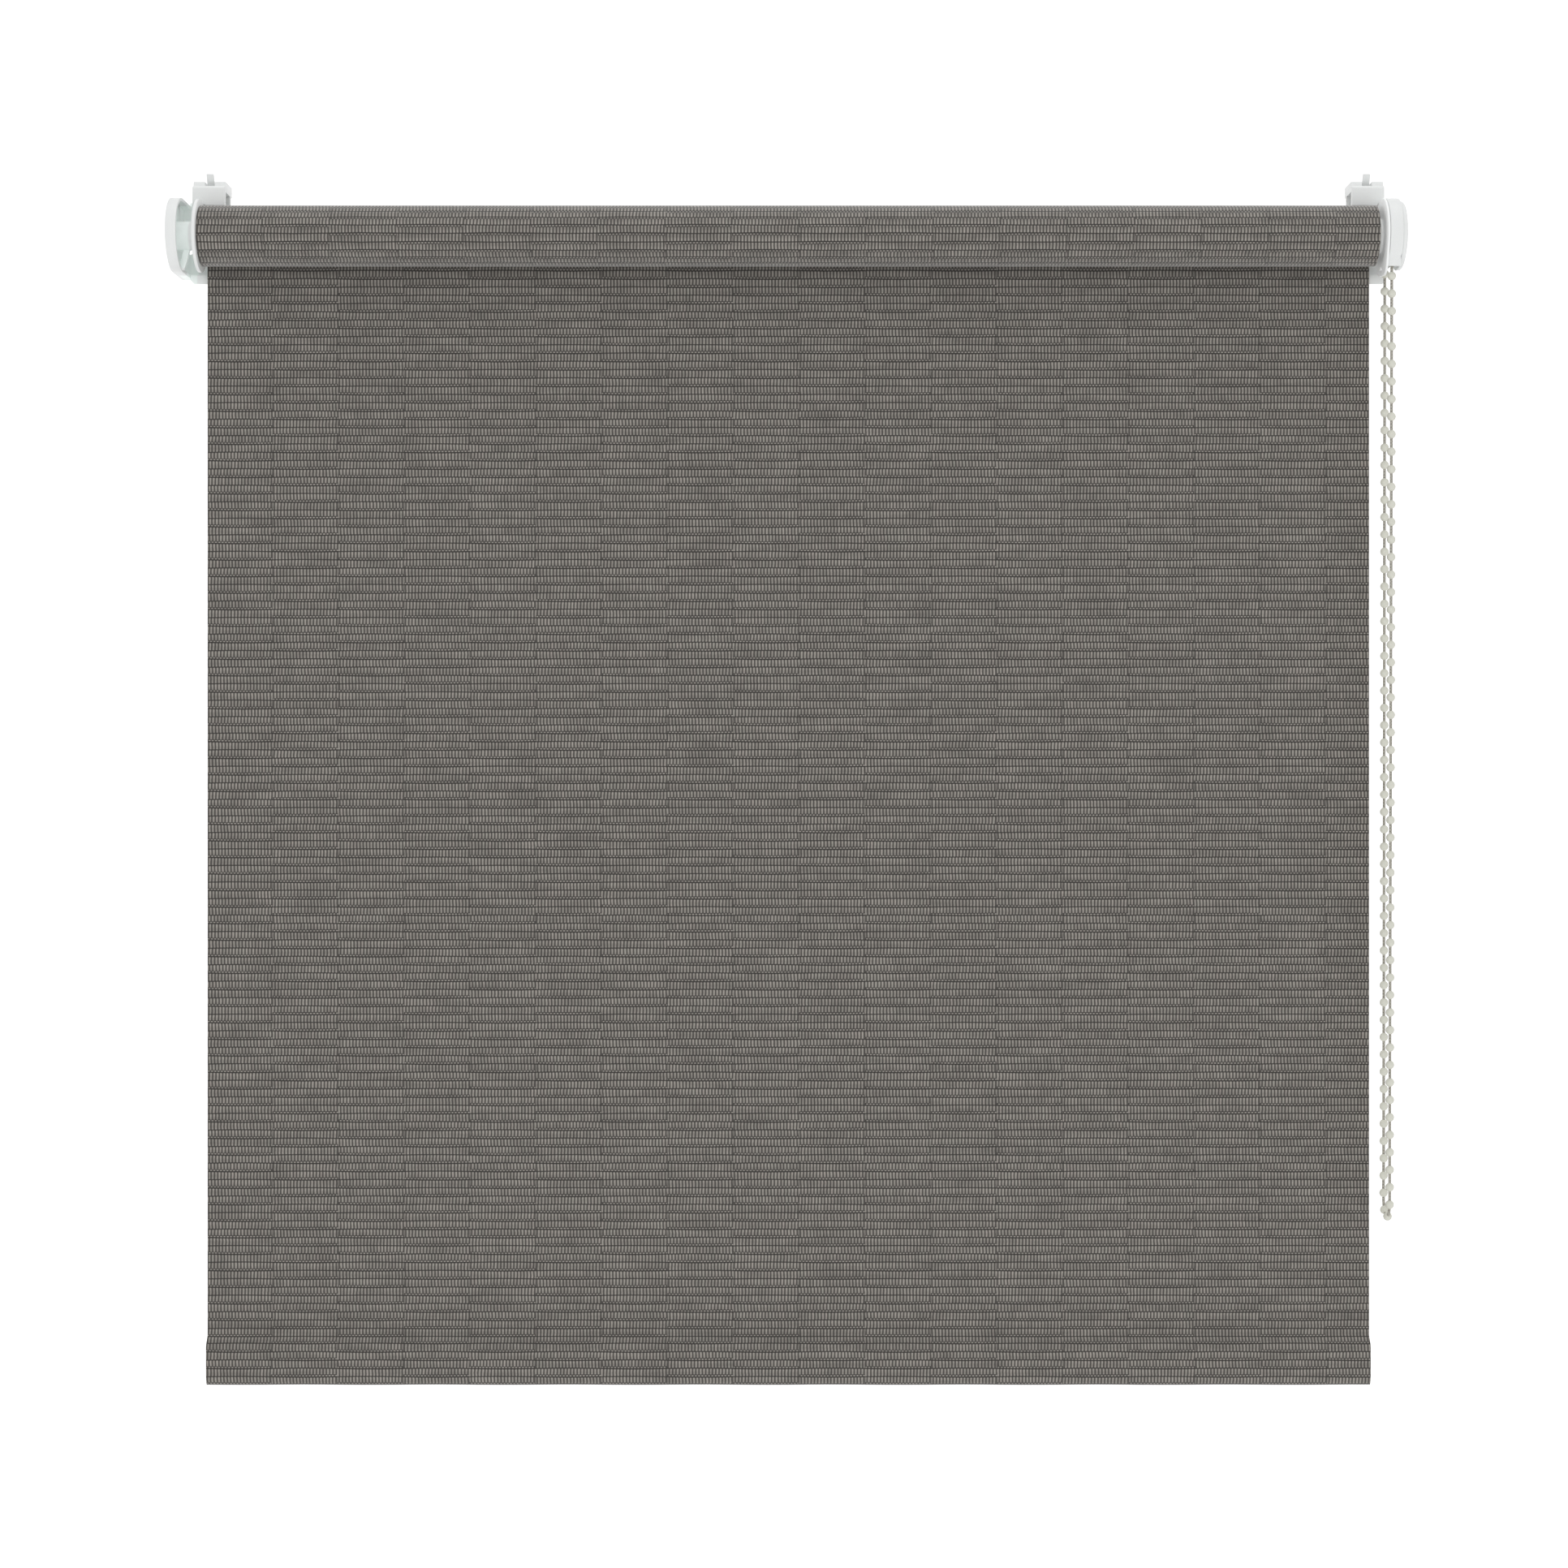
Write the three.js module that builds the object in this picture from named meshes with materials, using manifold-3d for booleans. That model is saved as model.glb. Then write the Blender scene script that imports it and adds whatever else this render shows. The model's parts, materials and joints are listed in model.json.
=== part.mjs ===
// A small roller blind on a bead chain, in millimetres.
// Origin: on the wall plane, at mid-width, level with the roller's axis.
// +X is to the right as seen from the room, +Y goes into the wall, +Z is up.
// "u" is a distance outwards from mid-width, the same on both sides, and "depth" is a
// distance behind the roller's axis, towards the wall.
import * as THREE from "three";
import { mergeVertices } from "three/addons/utils/BufferGeometryUtils.js";
import Module from "manifold-3d";

const wasm = await Module();
wasm.setup();

// ---------------------------------------------------------------- driving dimensions
const FABRIC_WIDTH = 600;
const DROP = 564; // roller axis to the top of the hem
const HEM_HEIGHT = 26.5;
const CLOTH_THICKNESS = 0.5;
const WALL_TO_AXIS = 27;
const ROLL_DIAMETER = 30.8; // wound cloth, blind down
const TUBE_DIAMETER = 18;
const TUBE_WALL = 1;
const GAP = 0.3; // clearance between pieces that touch or turn

const BAR_HEIGHT = 20;
const BAR_THICKNESS = 4;
const BAR_END_INSET = 2;

const CLIP_WIDTH = 16.6;
const CLIP_BEYOND_FABRIC = 6.2; // how far each clip reaches past the cloth's edge
const WALL_PLATE_THICKNESS = 2.6;
const WALL_PLATE_BELOW_AXIS = 16.4;
const WALL_PLATE_ABOVE_AXIS = 23;
const SCREW_HOLE_DIAMETER = 3.8;
const SCREW_HEAD_DIAMETER = 7.2;
const WEB_THICKNESS = 2.3;
const HEAD_BLOCK_HEIGHT = 5.3;
const HEAD_BLOCK_REACH = 17.4; // wall to the front of the block
const HEAD_WALL_THICKNESS = 3;
const HEAD_WALL_DROP = 7.4; // how far the front wall hangs below the block
const HEAD_WALL_STEP = 2.5; // how far the front wall's top lies below the block's
const HOOK_HEIGHT = 4.7;
const HOOK_UNDERCUT = 2; // how far its underside rises towards the wall
const HOOK_OVERHANG = 3; // the lower hook is this much wider than the head, outwards
const TAB_WIDTH = 3.8;
const TAB_THICKNESS = 1;
const TAB_REACH = 15; // wall to the tab's tip
const TAB_HEIGHT = 11.1; // above the wall plate
const TAB_BEND = [9.7, 4.2]; // reach and height where it turns up more steeply
const SLOT_WIDTH = 5.2;

const SIDE_PLATE_WIDTH = 5.3;
const SIDE_PLATE_OFFSET = 9.9; // cloth edge to the side plate's inner edge
const SIDE_PLATE_WALL = 1.8;
const SIDE_PLATE_RAISE = 0.45; // its centre above the roller's axis
const WINDOW_DIAMETER = 2.8; // round hole through the web beside the hub
const HUB_DIAMETER = 14.6;
const FLANGE_WIDTH = 1.7;

const PIN_DIAMETER = 5.3;
const PIN_COLLAR_DIAMETER = 7.8;
const PIN_GUIDE_DIAMETER = 3.6;
const PIN_TRAVEL = 8.4;
const PLUG_LENGTH = 38;
const PLUG_MOUTH = 6.3; // solid length in front of the pin's collar
const PIN_SPRING_WIRE = 0.8;

const SHOULDER_WIDTH = 2.5;
const CONTROL_FLANGE_THICKNESS = 1.2;
const DRUM_RADIUS = 19;
const DRUM_WALL = 1.6;
const DRUM_END_WALL = 1.4;
const CHIN_DROP = 17.3; // roller axis to the lower edge of the wall in front of the chain
const CHIN_THICKNESS = 0.9;
const CAP_RADIUS = 17.5;
const CAP_THICKNESS = 2.4;
const CORE_LENGTH = 34;
const SLEEVE_WALL = 0.7;
const CLUTCH_SPRING_WIRE = 0.8;
const CLUTCH_SPRING_LENGTH = 8;
const CORE_SCREW_DIAMETER = 2.4;
const CORE_SCREW_HEAD_DIAMETER = 5.6;

const BEAD_DIAMETER = 4.5;
const CHAIN_CORD_DIAMETER = 1.45;
const WHEEL_PITCH_RADIUS = 8.9;
const WHEEL_POCKETS = 6;
const WHEEL_PHASE_DEG = 22;
const CHAIN_PLAY = 0.35; // room beside a bead in the drum and in the wheel's pockets

// The bead chain's route below the wheel, as depth behind the axis and height, chosen by
// hand: down the front run, round the loop and up the back run.
const CHAIN_ROUTE = [
  [-8.8, -9], [-8.2, -60], [-7.3, -140], [-6.3, -220], [-5.4, -300], [-4.4, -380],
  [-3.7, -440], [-3.3, -475], [-3.1, -494.5], [-2.1, -498.3], [0.7, -501.1],
  [4.5, -502.1], [8.3, -501.1], [11.1, -498.3], [12.1, -494.5], [12, -475],
  [11.8, -440], [11.4, -380], [10.8, -300], [10.3, -220], [9.8, -140], [9.3, -60],
  [9, -9],
];

// ---------------------------------------------------------------- sizes that follow
const HALF = FABRIC_WIDTH / 2;
const AXIS_Y = -WALL_TO_AXIS;
const ROLL_R = ROLL_DIAMETER / 2;
const TUBE_R = TUBE_DIAMETER / 2;
const TUBE_INNER_R = TUBE_R - TUBE_WALL;
const FULL_ROLL_R = Math.sqrt(ROLL_R ** 2 + (CLOTH_THICKNESS * DROP) / Math.PI);
const FLANGE_R = FULL_ROLL_R + 0.4;
const SHEET_BACK_Y = AXIS_Y + ROLL_R;
const SHEET_FRONT_Y = SHEET_BACK_Y - CLOTH_THICKNESS;
const SHEET_TOP = -Math.sqrt((ROLL_R + GAP) ** 2 - (ROLL_R - CLOTH_THICKNESS) ** 2);

const CLIP_IN = HALF + CLIP_BEYOND_FABRIC - CLIP_WIDTH;
const CLIP_OUT = HALF + CLIP_BEYOND_FABRIC;
const CLIP_MID = (CLIP_IN + CLIP_OUT) / 2;
const WEB_BACK_Y = -WALL_PLATE_THICKNESS - GAP;
const WEB_FRONT_Y = WEB_BACK_Y - WEB_THICKNESS;
const BLOCK_BOTTOM = WALL_PLATE_ABOVE_AXIS + 1.4;
const BLOCK_TOP = BLOCK_BOTTOM + HEAD_BLOCK_HEIGHT;
const HEAD_FRONT_Y = -HEAD_BLOCK_REACH - HEAD_WALL_THICKNESS;
const HOOK_TOP = -WALL_PLATE_BELOW_AXIS - 2 * GAP;
const HOOK_BOTTOM = HOOK_TOP - HOOK_HEIGHT;
const HOOK_FRONT_Y = SHEET_BACK_Y + 1.6;
const SLOT_MID = CLIP_MID - 0.1;
const TAB_OUT = SLOT_MID + SLOT_WIDTH / 2 - GAP - 0.1;
const PLUG_END = HALF + GAP + FLANGE_WIDTH;

const FLANGE_IN = HALF + GAP + SHOULDER_WIDTH + GAP;
const FLANGE_OUT = FLANGE_IN + CONTROL_FLANGE_THICKNESS;
const CHAIN_U = FLANGE_OUT + CHAIN_PLAY + BEAD_DIAMETER / 2;
const DRUM_INNER_END = CHAIN_U + BEAD_DIAMETER / 2 + CHAIN_PLAY;
const DRUM_END = DRUM_INNER_END + DRUM_END_WALL;
const CORE_R = TUBE_DIAMETER / 4; // the post is half as wide as the tube
const CORE_END = DRUM_INNER_END - GAP;
const SLEEVE_R = CORE_R + GAP + CLUTCH_SPRING_WIRE + GAP + SLEEVE_WALL;
const POCKET_R = BEAD_DIAMETER / 2 + CHAIN_PLAY;

// ---------------------------------------------------------------- materials
function plastic(color, roughness = 0.45) {
  return new THREE.MeshStandardMaterial({ color, roughness, metalness: 0 });
}
function metal(color, roughness) {
  return new THREE.MeshStandardMaterial({ color, roughness, metalness: 1 });
}
const whitePlastic = plastic(0xe6e8e7);
const creamPlastic = plastic(0xe2e2d8);
const naturalNylon = plastic(0xdedacb, 0.5);
const beadCord = plastic(0xa9a89d, 0.8);
const aluminium = metal(0xb9bcc0, 0.35);
const springSteel = metal(0x8d9096, 0.3);
const cloth = plastic(0x6f6b66, 0.9);
const tape = plastic(0xcfc9b8, 0.7);

// ---------------------------------------------------------------- solids
function solidOf(geometry) {
  const plain = geometry.index ? geometry.toNonIndexed() : geometry.clone();
  plain.deleteAttribute("normal");
  plain.deleteAttribute("uv");
  const merged = mergeVertices(plain, 1e-4);
  return new wasm.Manifold(
    new wasm.Mesh({
      numProp: 3,
      vertProperties: merged.attributes.position.array,
      triVerts: new Uint32Array(merged.index.array),
    }),
  );
}
function geometryOf(solid) {
  const { vertProperties, triVerts, numProp } = solid.getMesh();
  if (numProp !== 3) throw new Error("a solid carries more than its positions");
  return new THREE.BufferGeometry()
    .setAttribute("position", new THREE.BufferAttribute(vertProperties, 3))
    .setIndex(new THREE.BufferAttribute(triVerts, 1));
}
function join(first, ...others) {
  return others.reduce((sum, solid) => sum.add(solid), first);
}
function cut(first, ...others) {
  return others.reduce((rest, solid) => rest.subtract(solid), first);
}
function box(x0, x1, y0, y1, z0, z1) {
  const geometry = new THREE.BoxGeometry(x1 - x0, y1 - y0, z1 - z0);
  return solidOf(geometry.translate((x0 + x1) / 2, (y0 + y1) / 2, (z0 + z1) / 2));
}
// A round solid on an axis along X through (depth, z); the outline is a list of [u, radius].
function turned(outline, segments = 40, depth = 0, z = 0) {
  const profile = outline.map(([u, radius]) => new THREE.Vector2(radius, u));
  const geometry = new THREE.LatheGeometry(profile, segments);
  geometry.rotateZ(-Math.PI / 2).translate(0, AXIS_Y + depth, z);
  return solidOf(geometry);
}
function rod(radius, u0, u1, segments, depth, z) {
  return turned([[u0, 0], [u0, radius], [u1, radius], [u1, 0]], segments, depth, z);
}
function pipe(outer, inner, u0, u1, segments) {
  const outline = [[u0, inner], [u0, outer], [u1, outer], [u1, inner], [u0, inner]];
  return turned(outline, segments);
}
// A shape drawn in depth and height, given its thickness along X.
function extrudeAcross(shape, u0, u1, curveSegments = 16) {
  const geometry = new THREE.ExtrudeGeometry(shape, {
    depth: u1 - u0, bevelEnabled: false, curveSegments,
  });
  const turn = new THREE.Matrix4().set(0, 0, 1, u0, 1, 0, 0, AXIS_Y, 0, 1, 0, 0, 0, 0, 0, 1);
  return solidOf(geometry.applyMatrix4(turn));
}
// A shape drawn in u and height, given its thickness along Y, from y0 back to y1.
function extrudeBack(points, y0, y1) {
  const shape = new THREE.Shape(points.map(([u, z]) => new THREE.Vector2(u, z)));
  const geometry = new THREE.ExtrudeGeometry(shape, { depth: y1 - y0, bevelEnabled: false });
  return solidOf(geometry.rotateX(Math.PI / 2).translate(0, y1, 0));
}
// A shape drawn in y and height, given its thickness along X.
function extrudeSide(points, u0, u1) {
  const shape = new THREE.Shape(points.map(([y, z]) => new THREE.Vector2(y - AXIS_Y, z)));
  return extrudeAcross(shape, u0, u1);
}

const blind = new THREE.Group();
blind.name = "roller_blind";

// Puts a piece in the blind. A piece for the left side is drawn on the right and mirrored.
function piece(name, solid, material, side = 1) {
  const mesh = new THREE.Mesh(geometryOf(solid), material);
  mesh.name = name;
  mesh.scale.x = side;
  blind.add(mesh);
}

// ---------------------------------------------------------------- clips
const sideName = (side) => (side < 0 ? "left" : "right");

function wallPlate() {
  const plate = box(
    CLIP_IN + 0.6, CLIP_OUT - 0.6,
    -WALL_PLATE_THICKNESS, 0, -WALL_PLATE_BELOW_AXIS, WALL_PLATE_ABOVE_AXIS - 1,
  );
  const holes = [-9, 9].map((z) => screwHole(CLIP_MID, z));
  return cut(plate, ...holes);
}
// A countersunk hole through the wall plate.
function screwHole(u, z) {
  const r = SCREW_HOLE_DIAMETER / 2;
  const headR = SCREW_HEAD_DIAMETER / 2;
  const sink = headR - r;
  const outline = [
    [-1, 0], [-1, r], [WALL_PLATE_THICKNESS - sink, r],
    [WALL_PLATE_THICKNESS + 0.01, headR], [WALL_PLATE_THICKNESS + 1, headR],
    [WALL_PLATE_THICKNESS + 1, 0],
  ];
  const profile = outline.map(([y, radius]) => new THREE.Vector2(radius, y));
  const geometry = new THREE.LatheGeometry(profile, 20);
  return solidOf(geometry.rotateX(Math.PI).translate(u, 0, z));
}

// The springy tongue that rises forwards from the wall plate through the bracket's slot.
function releaseTab() {
  const start = [-WALL_PLATE_THICKNESS / 2, WALL_PLATE_ABOVE_AXIS - TAB_THICKNESS / 2];
  const bend = [-TAB_BEND[0] - TAB_THICKNESS, WALL_PLATE_ABOVE_AXIS + TAB_BEND[1]];
  const tip = [-TAB_REACH, WALL_PLATE_ABOVE_AXIS + TAB_HEIGHT];
  const [h, r] = [TAB_THICKNESS / 2, TAB_THICKNESS * 0.43];
  const tongue = extrudeSide([
    [start[0] + r, start[1] + h], [start[0] - r, start[1] - h + GAP / 2],
    [bend[0] - h, bend[1] - h],
    [tip[0] - r, tip[1]], [tip[0] + r, tip[1] + 0.2], [bend[0] + h * 0.6, bend[1] + h],
  ].reverse(), TAB_OUT - TAB_WIDTH, TAB_OUT);
  const root = box(
    TAB_OUT - TAB_WIDTH, TAB_OUT, -WALL_PLATE_THICKNESS, -GAP,
    WALL_PLATE_ABOVE_AXIS - 1 + GAP, WALL_PLATE_ABOVE_AXIS + 0.2,
  );
  return join(tongue, root);
}

// The part of each side bracket that slips over the wall plate: web, top block, front
// wall and lower hook, hollowed round the roll.
function bracketHead() {
  const block = box(CLIP_IN, CLIP_OUT, -HEAD_BLOCK_REACH, -GAP, BLOCK_BOTTOM, BLOCK_TOP);
  const frontTop = BLOCK_TOP - HEAD_WALL_STEP;
  const bevel = 1.1;
  const front = extrudeSide([
    [HEAD_FRONT_Y, BLOCK_BOTTOM - HEAD_WALL_DROP],
    [-HEAD_BLOCK_REACH, BLOCK_BOTTOM - HEAD_WALL_DROP],
    [-HEAD_BLOCK_REACH, frontTop],
    [HEAD_FRONT_Y + bevel, frontTop],
    [HEAD_FRONT_Y, frontTop - bevel],
  ], CLIP_IN, CLIP_OUT);
  const web = extrudeBack([
    [CLIP_IN, HOOK_TOP - 1], [CLIP_OUT + HOOK_OVERHANG, HOOK_TOP - 1],
    [HALF + SIDE_PLATE_OFFSET + 0.5, HOOK_TOP],
    [HALF + SIDE_PLATE_OFFSET + 0.5, BLOCK_BOTTOM - 3.3],
    [CLIP_OUT, BLOCK_BOTTOM - 3.3], [CLIP_OUT, BLOCK_BOTTOM + 1],
    [CLIP_IN, BLOCK_BOTTOM + 1],
  ], WEB_FRONT_Y, WEB_BACK_Y);
  const corner = 1.9;
  const hook = extrudeBack([
    [CLIP_IN, HOOK_BOTTOM], [CLIP_OUT + HOOK_OVERHANG - corner, HOOK_BOTTOM],
    [CLIP_OUT + HOOK_OVERHANG, HOOK_BOTTOM + corner],
    [CLIP_OUT + HOOK_OVERHANG, HOOK_TOP], [CLIP_IN, HOOK_TOP],
  ], HOOK_FRONT_Y, -GAP);
  const undercut = extrudeSide([
    [HOOK_FRONT_Y + 1, HOOK_BOTTOM], [0, HOOK_BOTTOM + HOOK_UNDERCUT], [0, HOOK_BOTTOM - 1],
    [HOOK_FRONT_Y + 1, HOOK_BOTTOM - 1],
  ].reverse(), CLIP_IN - 1, CLIP_OUT + HOOK_OVERHANG + 1);
  const slot = box(
    SLOT_MID - SLOT_WIDTH / 2, SLOT_MID + SLOT_WIDTH / 2,
    -HEAD_BLOCK_REACH - 0.01, WEB_BACK_Y + 1, WALL_PLATE_ABOVE_AXIS - 2, BLOCK_TOP + 1,
  );
  return cut(join(block, front, web, cut(hook, undercut)), slot);
}
const rollRelief = rod(FULL_ROLL_R + GAP, CLIP_IN - 1, HALF + GAP, 48);

// ---------------------------------------------------------------- idle side, on the left
// A half-round plate whose straight edges run back to the wall.
function roundFrontShape(radius, back) {
  const shape = new THREE.Shape();
  shape.moveTo(back, -radius);
  shape.lineTo(back, radius);
  shape.lineTo(0, radius);
  shape.absarc(0, 0, radius, Math.PI / 2, (3 * Math.PI) / 2, false);
  shape.closePath();
  return shape;
}

function idleBracket() {
  const inner = HALF + SIDE_PLATE_OFFSET;
  const outer = inner + SIDE_PLATE_WIDTH;
  const floor = outer - SIDE_PLATE_WALL;
  const radius = FLANGE_R + 0.3;
  const back = WALL_TO_AXIS - 1.7;
  const plate = extrudeAcross(roundFrontShape(radius, back), inner, outer, 20);
  const recess = extrudeAcross(
    roundFrontShape(radius - SIDE_PLATE_WALL, back - WEB_THICKNESS - 1.6), inner - 1, floor, 20,
  );
  const rim = cut(plate, recess).translate(0, 0, SIDE_PLATE_RAISE);
  const hubStart = PLUG_END + GAP;
  const hubR = HUB_DIAMETER / 2;
  const hub = rod(hubR, hubStart, floor + 0.5, 36);
  const bore = rod(PIN_DIAMETER / 2 + GAP, hubStart - 1, floor - 1.5, 24);
  const strutFoot = SIDE_PLATE_RAISE - radius + 0.9;
  const strut = extrudeBack([
    [inner - 3.9, 0.8 - hubR], [inner - 2.6, (strutFoot - hubR) / 2], [inner - 0.9, strutFoot],
    [inner + 2.2, strutFoot], [inner + 0.5, (strutFoot - hubR) / 2], [inner - 0.9, 0.8 - hubR],
  ].reverse(), AXIS_Y - 1.2, AXIS_Y + 1.2);
  const holeR = WINDOW_DIAMETER / 2;
  const window = solidOf(new THREE.CylinderGeometry(holeR, holeR, 10, 20)
    .translate(inner + 0.2, WEB_BACK_Y, -4.3));
  const plugRelief = rod(FLANGE_R + GAP, HALF - GAP, PLUG_END + GAP, 48);
  const head = cut(bracketHead(), rollRelief, plugRelief);
  return cut(join(rim, head, hub, strut), bore, window);
}

function idlePlug() {
  const deep = HALF - PLUG_LENGTH;
  const bodyR = TUBE_INNER_R - GAP;
  const body = turned([
    [deep, 0], [deep, bodyR], [HALF + GAP, bodyR],
    [HALF + GAP, FLANGE_R], [PLUG_END, FLANGE_R], [PLUG_END, 0],
  ], 48);
  const mouth = rod(PIN_DIAMETER / 2 + GAP, HALF - PLUG_MOUTH - 1, PLUG_END + 1, 24);
  const chamber = rod(PIN_COLLAR_DIAMETER / 2 + GAP, deep + 4, HALF - PLUG_MOUTH, 24);
  return cut(body, mouth, chamber);
}
const COLLAR_OUT = HALF - PLUG_MOUTH - GAP;
const COLLAR_IN = COLLAR_OUT - 3;
const PIN_TIP = PLUG_END + 0.1 + PIN_TRAVEL;
const GUIDE_END = HALF - PLUG_LENGTH + 4 + PIN_TRAVEL + 1.6;

function idlePin() {
  const r = PIN_DIAMETER / 2;
  return turned([
    [GUIDE_END, 0], [GUIDE_END, PIN_GUIDE_DIAMETER / 2],
    [COLLAR_IN, PIN_GUIDE_DIAMETER / 2], [COLLAR_IN, PIN_COLLAR_DIAMETER / 2],
    [COLLAR_OUT, PIN_COLLAR_DIAMETER / 2], [COLLAR_OUT, r],
    [PIN_TIP - 0.8, r], [PIN_TIP, r - 0.8], [PIN_TIP, 0],
  ], 24);
}

// A helix on the roller's axis, as a solid wire with flat ends.
function coilSpring(u0, u1, radius, wire, turns) {
  const steps = turns * 12;
  class Helix extends THREE.Curve {
    getPoint(t, target = new THREE.Vector3()) {
      const angle = 2 * Math.PI * turns * t;
      const u = u0 + wire / 2 + (u1 - u0 - wire) * t;
      return target.set(u, AXIS_Y + radius * Math.cos(angle), radius * Math.sin(angle));
    }
  }
  const geometry = new THREE.ExtrudeGeometry(roundShape(wire / 2, 6), {
    steps, extrudePath: new Helix(), bevelEnabled: false,
  });
  return solidOf(geometry);
}
function roundShape(radius, sides) {
  const points = Array.from({ length: sides }, (_, i) => {
    const angle = (2 * Math.PI * (i + 0.5)) / sides;
    return new THREE.Vector2(radius * Math.cos(angle), radius * Math.sin(angle));
  });
  return new THREE.Shape(points);
}

// ---------------------------------------------------------------- control side, right
// The drum that houses the chain wheel, on its own web and clip head.
function controlBracket() {
  const start = FLANGE_OUT + GAP;
  const drum = rod(DRUM_RADIUS, start, DRUM_END, 56);
  const room = rod(DRUM_RADIUS - DRUM_WALL, start - 1, DRUM_INNER_END, 56);
  const chainReach = WHEEL_PITCH_RADIUS + BEAD_DIAMETER / 2 + CHAIN_PLAY;
  const chainSlot = box(
    start - 1, DRUM_INNER_END, AXIS_Y - chainReach, AXIS_Y + chainReach,
    -DRUM_RADIUS - 1, -WHEEL_PITCH_RADIUS,
  );
  const chin = box(
    start, DRUM_END, AXIS_Y - chainReach - CHIN_THICKNESS, AXIS_Y - chainReach, -CHIN_DROP, -9,
  );
  const lip = DRUM_RADIUS - 4.1;
  const [roundU, roundZ] = [2.6, 4.6];
  const corner = Array.from({ length: 6 }, (_, i) => {
    const angle = (-Math.PI / 2) + (i * Math.PI) / 10;
    return [
      DRUM_END - roundU + roundU * Math.cos(angle),
      -lip + roundZ + roundZ * Math.sin(angle),
    ];
  });
  const trim = extrudeBack([
    [start - 1, -lip], ...corner, [DRUM_END + 1, -lip + roundZ],
    [DRUM_END + 1, -DRUM_RADIUS - 1], [start - 1, -DRUM_RADIUS - 1],
  ].reverse(), AXIS_Y - DRUM_RADIUS - 1, AXIS_Y + DRUM_RADIUS + 1);
  const arm = box(
    start, DRUM_END, AXIS_Y + DRUM_RADIUS - DRUM_WALL - 0.4, WEB_BACK_Y, -11, 11,
  );
  const armRoom = rod(DRUM_RADIUS - DRUM_WALL, start, DRUM_INNER_END, 56);
  const screwHoleInWall = rod(CORE_SCREW_DIAMETER / 2 + GAP, DRUM_INNER_END - 1, DRUM_END + 1, 20);
  const shell = join(cut(drum, room, chainSlot, trim), chin, cut(arm, armRoom));
  const nearDrum = rod(DRUM_RADIUS + GAP, FLANGE_IN - GAP, start, 48);
  const head = cut(bracketHead(), rollRelief, nearDrum);
  return cut(join(shell, head), screwHoleInWall);
}

// The outline round some circles, each [depth, z, radius], as a closed shape.
function outlineRound(circles, points = 72) {
  return new THREE.Shape(Array.from({ length: points }, (_, i) => {
    const angle = (2 * Math.PI * i) / points;
    const [c, s] = [Math.cos(angle), Math.sin(angle)];
    const [depth, z, r] = circles.reduce((best, other) => {
      const reach = (circle) => circle[0] * c + circle[1] * s + circle[2];
      return reach(other) > reach(best) ? other : best;
    });
    return new THREE.Vector2(depth + r * c, z + r * s);
  }));
}
// The plate that closes the drum's inner side, drawn down below it to guide the chain.
function controlFlange() {
  const radius = DRUM_RADIUS;
  const foot = -radius - 2.2;
  const shape = outlineRound([[0, 0, radius], [-6, foot + 8.5, 8.5], [3, foot + 10, 9]]);
  const plate = extrudeAcross(shape, FLANGE_IN, FLANGE_OUT, 24);
  const eye = rod(SLEEVE_R + GAP, FLANGE_IN - 1, FLANGE_OUT + 1, 28);
  const peep = extrudeSide([
    [AXIS_Y - 3, 1 - radius], [AXIS_Y + 3.5, 1.9 - radius], [AXIS_Y + 0.8, 3.4 - radius],
  ], FLANGE_IN - 1, FLANGE_OUT + 1);
  return cut(plate, eye, peep);
}

function controlCap() {
  const start = DRUM_END + GAP;
  const end = start + CAP_THICKNESS;
  const edge = 1.2;
  const round = Array.from({ length: 4 }, (_, i) => {
    const angle = (i * Math.PI) / 6;
    return [end - edge + edge * Math.sin(angle), CAP_RADIUS - edge + edge * Math.cos(angle)];
  });
  const disc = turned([[start, 0], [start, CAP_RADIUS], ...round, [end, 0]], 56);
  const headRoom = rod(CORE_SCREW_HEAD_DIAMETER / 2 + GAP, start - 1, start + 1.5, 24);
  return cut(disc, headRoom);
}

function coreScrew() {
  const start = DRUM_END + GAP;
  return turned([
    [CORE_END - 12, 0], [CORE_END - 12, CORE_SCREW_DIAMETER / 2],
    [start, CORE_SCREW_DIAMETER / 2], [start, CORE_SCREW_HEAD_DIAMETER / 2],
    [start + 1.2, CORE_SCREW_HEAD_DIAMETER / 2], [start + 1.2, 0],
  ], 20);
}

function clutchCore() {
  const post = rod(CORE_R, CORE_END - CORE_LENGTH, CORE_END, 28);
  const pilot = rod(CORE_SCREW_DIAMETER / 2 + GAP, CORE_END - 13, CORE_END + 1, 20);
  return cut(post, pilot);
}

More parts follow.
